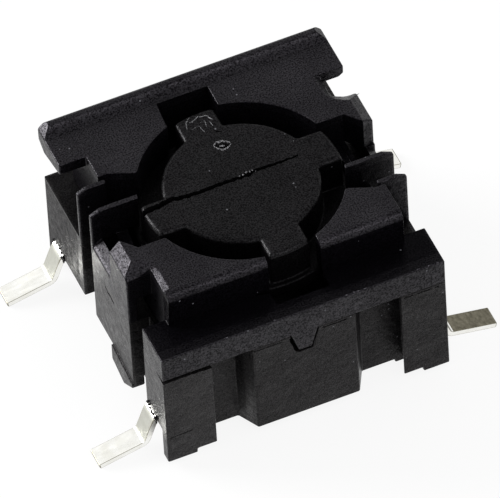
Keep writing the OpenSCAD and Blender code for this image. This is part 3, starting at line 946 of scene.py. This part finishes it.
    def build_top(self) -> None:
        """Builds and dresses the upper moulding, whose rear ridge runs softly into the plate."""
        stretches = (Stretch(((-5.3, 4.2, 6.55), (5.3, 4.45, 6.65)), 0.0),
                     Stretch(((-5.3, 4.5, 6.8), (5.3, 4.8, 6.95)), 0.12),
                     Stretch(((-5.3, -5.0, 5.0), (5.3, -4.85, 5.3)), 0.03),
                     Stretch(((-5.3, -3.75, 5.1), (5.3, -3.5, 5.3)), 0.0),
                     Stretch(((-5.3, -4.8, 4.1), (5.3, 5.0, 4.3)), 0.0))
        top = rounded_copy("upper_housing", "upper_housing_skin", Rounding(self.corner, stretches))
        ridge = ((-5.2, 4.25, 6.5), (5.1, 4.95, 7.0))
        dress(top, self.upper_finish().build(), "moulding", HOUSING, "upper_housing", soft=ridge)

    def build_flash(self) -> None:
        """Builds and dresses the crumbs of flash as one piece."""
        marks = self.flash()
        join(marks[0], marks[1:])
        marks[0].name = "housing_flash"
        whitened = MouldedPlastic("flash_whitened", (0.01, 0.009, 0.012), (0.09, 0.085, 0.1)).build()
        dress(marks[0], whitened, "moulding", HOUSING)

    def build(self) -> None:
        """Builds both mouldings and their flash."""
        self.build_base()
        self.build_top()
        self.build_flash()


@dataclass
class PushButton:
    """The button with its four ears, the cut line over its top, the gate's nib and some scratches.

    Args:
        top: height of its top in millimetres.
        corner: width of its edge rounding in millimetres.
    """

    top: float = 6.54
    corner: float = 0.07

    def line(self, name: str, points: list[Spot], widths: list[float], depth: float) -> bpy.types.Object:
        """A groove on the top, drawn with an uneven hand.

        At s millimetres along it, it waves by 0.012 sin 17s + 0.009 sin(31s + 1) millimetres, and its width
        swells by 18% of sin 23s.

        Args:
            name: the cutter's name.
            points: places on the top in millimetres.
            widths: full widths at the points in millimetres.
            depth: depth over width.

        Returns:
            The cutter.
        """
        given = np.array(points)
        at = np.concatenate([[0], np.cumsum(np.linalg.norm(np.diff(given, axis=0), axis=1))])
        fine = np.linspace(0, at[-1], max(6, int(at[-1] / 0.12)))
        wave = 0.012 * np.sin(fine * 17.0) + 0.009 * np.sin(fine * 31.0 + 1.0)
        path = np.stack([np.interp(fine, at, given[:, 0]), np.interp(fine, at, given[:, 1]) + wave,
                         np.full(len(fine), self.top)], axis=1) * MM
        half = np.interp(fine, at, np.array(widths)) * (1 + 0.18 * np.sin(fine * 23.0)) / 2 * MM
        return groove(name, path, np.array([0.0, 0.0, 1.0]), half, 2 * depth * half)

    def grooves(self) -> list[bpy.types.Object]:
        """Cutters for the line across the top, the nick by the rear ear, the gate's nib and a scratch."""
        slit = [(-3.5, 0.13), (-2.84, 0.16), (-2.36, 0.27), (-2.11, 0.19), (-1.41, 0.15), (-0.68, 0.18),
                (0.03, 0.16), (0.63, 0.23), (1.48, 0.21), (2.13, 0.23)]
        nick = [(-0.18, 1.8), (-0.05, 1.77), (0.05, 1.70), (0.16, 1.64), (0.3, 1.64)]
        return [self.line("slit", slit, [0.24, 0.21, 0.2, 0.18, 0.16, 0.15, 0.14, 0.13, 0.11, 0.06], 2.0),
                self.line("nick", nick, [0.02, 0.2, 0.3, 0.2, 0.02], 0.7),
                self.line("gate", [(0.2, 0.13), (0.3, 0.12), (0.46, 0.14)], [0.05, 0.13, 0.05], 1.5),
                self.line("scratch", [(0.11, 2.33), (0.3, 2.26)], [0.05, 0.04], 1.5)]

    def scuffs(self) -> list[bpy.types.Object]:
        """Whitened rims of the nick, strokes on the rear ear and the right, and crumbs behind the gate."""
        strokes = [([(-0.2, 1.82), (-0.04, 1.9), (0.14, 1.88), (0.27, 1.78), (0.36, 1.66)], 0.12),
                   ([(-0.2, 1.8), (-0.13, 1.64), (0.0, 1.52), (0.15, 1.5), (0.34, 1.62)], 0.11),
                   ([(-0.02, 1.72), (0.14, 1.65)], 0.11),
                   ([(-0.41, 3.29), (-0.61, 3.1), (-0.7, 2.8)], 0.06),
                   ([(-0.15, 3.21), (-0.36, 3.07), (-0.51, 3.05)], 0.08),
                   ([(-0.14, 3.16), (0.1, 3.12), (0.23, 2.86)], 0.1),
                   ([(-0.21, 2.9), (-0.01, 2.95), (-0.08, 2.65)], 0.035),
                   ([(-0.57, 2.74), (-0.29, 2.8), (-0.22, 2.47)], 0.03),
                   ([(0.09, 2.86), (0.15, 2.58)], 0.035),
                   ([(2.12, 0.87), (2.26, 0.85)], 0.035)]
        crumbs = [(0.17, 0.22, 0.04), (0.3, 0.28, 0.045), (0.42, 0.25, 0.03), (0.52, 0.27, 0.03),
                  (0.6, 0.19, 0.025), (0.04, 0.22, 0.03)]
        return ([rib(f"stroke_{i}", [(x, y, self.top) for x, y in points], width, 0.03, i)
                 for i, (points, width) in enumerate(strokes)]
                + [lump(f"crumb_{i}", (x, y, self.top), (size, 0.6 * size, 0.5 * size), i, 40 * i)
                   for i, (x, y, size) in enumerate(crumbs)])

    def build(self) -> None:
        """Builds and dresses the button, with painted shade that dims its sheen below its top, and its
        scuffs.
        """
        # Painted shade: the sides and the parts below the top get a dimmer sheen.
        below = ShadeZone({"Z": (0.0, self.top - 0.16)}, 0.4)
        black = MouldedPlastic("button_black", (0.0006, 0.0005, 0.0006), (0.0022, 0.002, 0.0023),
                               (0.97, 0.95, 1.0), shine=(0.08, 0.42), zones=(below,)).build()
        skin = rounded_copy("button", "button_skin", Rounding(self.corner))
        carve(skin, self.grooves())
        dress(skin, black, "button_plastic", BUTTON, "button")
        marks = self.scuffs()
        join(marks[0], marks[1:])
        marks[0].name = "button_scuffs"
        whitened = MouldedPlastic("button_whitened", (0.02, 0.02, 0.022), (0.24, 0.24, 0.25)).build()
        dress(marks[0], whitened, "button_plastic", BUTTON)


class Plate(Enum):
    """Finish of a contact frame's face, as the place of its material. The edge and the leg finishes are
    darker copies of the bright tin: painted shade on the end faces, the rounded edges and the legs.
    """

    BRIGHT = 0
    EDGE = 1
    DULL = 2
    SHADED_LEG = 3


@dataclass
class Metalwork:
    """The two contact frames with their terminals.

    Args:
        toe: distance from the middle beyond which a foot's top is counted, in millimetres.
        tip: distance beyond which a foot's end face is counted, in millimetres.
        corner: width of the edge rounding in millimetres.
    """

    toe: float = 5.35
    tip: float = 6.9
    corner: float = 0.04

    def finishes(self) -> tuple[bpy.types.Material, ...]:
        """Returns the materials in the order of Plate."""
        plates = (TinPlate("tin_plate", (0.9, 0.9, 0.87), (0.8, 0.79, 0.73), (0.22, 0.4)),
                  # The edge and leg finishes are darker copies of the bright tin, as painted shade.
                  TinPlate("tin_plate_edge_painted_shade", (0.3, 0.285, 0.23), (0.2, 0.19, 0.15), (0.3, 0.5)),
                  TinPlate("tin_plate_dull", (0.2, 0.185, 0.14), (0.07, 0.064, 0.045), (0.3, 0.5), 9000),
                  TinPlate("tin_plate_leg_painted_shade", (0.34, 0.34, 0.31), (0.29, 0.29, 0.26), (0.6, 0.75)))
        return tuple(plate.build() for plate in plates)

    def plate_of(self, face: bpy.types.MeshPolygon) -> Plate:
        """Picks a face's finish: the right front foot's top has gone dull, and end faces and legs get darker
        tin as painted shade, like the rounded edges.

        Args:
            face: the face, whose material is so far that of a flat or of a rounded edge.

        Returns:
            Its finish.
        """
        place, now = face.center / MM, Plate(face.material_index)
        if place.x > self.toe and place.y < 0 and face.normal.z > 0.9:
            return Plate.DULL
        if abs(place.x) > self.tip and abs(face.normal.x) > 0.9:
            return Plate.EDGE
        return Plate.SHADED_LEG if now is Plate.BRIGHT and abs(face.normal.x) > 0.7 else now

    def build(self) -> None:
        """Builds and dresses both frames."""
        finishes = self.finishes()
        for node in ("centre_contact_frame", "outer_contact_frame"):
            piece = rounded_copy(node, f"{node}_skin", Rounding(self.corner, segments=2), finishes)
            # Rounded edges already carry the darker edge tin of painted shade; end faces and legs get theirs
            # here.
            for face in piece.data.polygons:
                face.material_index = self.plate_of(face).value
            dress(piece, finishes[0], "tin_plate", HOUSING, node)


@dataclass
class Seal:
    """The silicone boot and the snap dome inside, which the button presses flat in the real switch; here they
    stay at rest.

    Args:
        floor: height of the chamber's floor.
        dome: radius, height and thickness of the dome.
    """

    floor: float = 1.6 * MM
    dome: tuple[float, float, float] = (2.5 * MM, 0.45 * MM, 0.08 * MM)

    def dome_profile(self) -> np.ndarray:
        """Outline of the dome: two arcs about one centre, R = (r r + h h) / 2 h for the outer one."""
        r, h, t = self.dome
        outer = (r * r + h * h) / (2 * h)
        edge = asin(r / outer)
        out = np.linspace(edge, 0, 24)
        middle = self.floor + h + t - outer
        upper = np.stack([outer * np.sin(out), middle + outer * np.cos(out)], axis=1)
        lower = np.stack([(outer - t) * np.sin(out[::-1]), middle + (outer - t) * np.cos(out[::-1])], axis=1)
        return np.maximum(np.concatenate([upper, lower]), [1e-6, 0])

    def build(self) -> None:
        """Builds and dresses the boot and the dome."""
        rubber = Silicone("silicone_black", (0.006, 0.006, 0.0065)).build()
        steel = TinPlate("spring_steel", (0.6, 0.6, 0.58), (0.5, 0.49, 0.47), (0.15, 0.3)).build()
        boot = rounded_copy("sealing_boot", "sealing_boot_skin", Rounding(0.03, segments=2))
        dress(boot, rubber, "silicone", HOUSING, "sealing_boot")
        dome = revolved("snap_dome_skin", self.dome_profile())
        dress(dome, steel, "spring_steel", HOUSING, "snap_dome")
        for piece in (boot, dome):
            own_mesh(piece)


# The studio


@dataclass
class Studio:
    """Floor, soft lights and the camera of the photograph.

    Args:
        azimuth: angle of the view from the rear direction towards the right, in degrees.
        elevation: angle of the view below the level, in degrees.
        roll: turn of the picture about the view, in degrees.
        distance: from the camera to the aim.
        lens: focal length in the camera's millimetres.
        aim: point that the view is measured from.
        offset: how far the picture's middle lies right of and above the aim.
        surround: strength of the surroundings for diffuse light.
        floor_seen: share of the floor's glow in what the camera sees of it.
        floor_radius: radius of the floor.
    """

    azimuth: float = 20.708
    elevation: float = 48.693
    roll: float = -3.705
    distance: float = 479 * MM
    lens: float = 1055.7
    aim: Point = (0.0, 0.0, 2.2 * MM)
    offset: tuple[float, float] = (0.1033 * MM, 0.658 * MM)
    surround: float = 0.7
    floor_seen: float = 0.88
    floor_radius: float = 0.4

    def camera(self) -> None:
        """Places the camera: its axes are the view's right, up and back directions, turned by the roll."""
        a, e, r = radians(self.azimuth), radians(self.elevation), radians(self.roll)
        forward = Vector((sin(a) * cos(e), cos(a) * cos(e), -sin(e)))
        right = Vector((cos(a), -sin(a), 0.0))
        up = right.cross(forward)
        turned_right = right * cos(r) + up * sin(r)
        turned_up = up * cos(r) - right * sin(r)
        place = (Vector(self.aim) + turned_right * self.offset[0] + turned_up * self.offset[1]
                 - forward * self.distance)
        turn = Matrix((turned_right, turned_up, -forward)).transposed().to_4x4()
        data = bpy.data.cameras.new("camera")
        data.lens = self.lens
        data.sensor_width = 36.0
        data.clip_start = 0.01
        data.clip_end = 10.0
        camera = bpy.data.objects.new("camera", data)
        camera.matrix_world = Matrix.Translation(place) @ turn
        bpy.context.scene.collection.objects.link(camera)
        bpy.context.scene.camera = camera

    def lamp(self, name: str, place: Point, size: float, power: float) -> None:
        """Adds a soft square lamp that looks at the aim.

        Args:
            name: the lamp's name.
            place: where it is.
            size: its side.
            power: its power in watts.
        """
        data = bpy.data.lights.new(name, "AREA")
        data.size = size
        data.energy = power
        lamp = bpy.data.objects.new(name, data)
        lamp.location = place
        lamp.rotation_euler = (Vector(self.aim) - Vector(place)).to_track_quat("-Z", "Y").to_euler()
        bpy.context.scene.collection.objects.link(lamp)

    def world(self) -> None:
        """White surroundings for the camera and for reflections, softer light for the rest."""
        g = NodeGraph(bpy.data.worlds.new("surroundings"))
        path = g.add("ShaderNodeLightPath").outputs
        seen = g.maths(Maths.LARGER, path["Is Camera Ray"], path["Is Glossy Ray"])
        seen = g.maths(Maths.LARGER, seen, path["Is Transmission Ray"])
        strength = g.feed(g.add("ShaderNodeMapRange"), Value=seen, To_Min=self.surround, To_Max=1.0)
        background = g.feed(g.add("ShaderNodeBackground"), Color=(1.0, 1.0, 1.0, 1.0),
                            Strength=strength.outputs["Result"])
        g.feed(g.add("ShaderNodeOutputWorld"), Surface=background.outputs["Background"])
        bpy.context.scene.world = g.owner

    def floor(self) -> None:
        """A pale floor disc just under the feet that shows white and keeps a soft shadow."""
        ring = np.linspace(0, 2 * pi, 96, endpoint=False)
        points = np.stack([self.floor_radius * np.cos(ring), self.floor_radius * np.sin(ring),
                           np.full(96, -2e-6)], axis=1)
        data = bpy.data.meshes.new("floor")
        data.from_pydata(points.tolist(), [], [list(range(96))])
        floor = bpy.data.objects.new("floor", data)
        bpy.context.scene.collection.objects.link(floor)
        g = NodeGraph(bpy.data.materials.new("floor_white"))
        path = g.add("ShaderNodeLightPath").outputs
        plain = g.maths(Maths.TIMES, path["Is Camera Ray"], self.floor_seen)
        mirrored = g.maths(Maths.LARGER, path["Is Glossy Ray"], path["Is Transmission Ray"])
        matt = g.feed(g.add("ShaderNodeBsdfDiffuse"), Color=(0.9, 0.9, 0.9, 1.0))
        glow = g.feed(g.add("ShaderNodeEmission"), Strength=1.0)
        blend = g.add("ShaderNodeMixShader")
        g.wire(g.maths(Maths.LARGER, plain, mirrored), blend.inputs[0])
        g.wire(matt.outputs["BSDF"], blend.inputs[1])
        g.wire(glow.outputs["Emission"], blend.inputs[2])
        g.feed(g.add("ShaderNodeOutputMaterial"), Surface=blend.outputs["Shader"])
        data.materials.append(g.owner)

    def build(self) -> None:
        """Builds the studio, with a key lamp low at the back left and a weak fill lamp at the front."""
        scene = bpy.context.scene
        scene.view_settings.view_transform = "Standard"
        self.camera()
        self.world()
        self.floor()
        self.lamp("key", (-0.17, 0.15, 0.08), 0.13, 0.9)
        self.lamp("fill", (0.06, -0.19, 0.155), 0.16, 0.15)


def main() -> None:
    """Builds the studio and the pieces in order."""
    logging.basicConfig(level=logging.INFO, format="%(message)s")
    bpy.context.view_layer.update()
    Studio().build()
    for part in (Mouldings(), PushButton(), Metalwork(), Seal()):
        part.build()


if __name__ == "__main__":
    main()
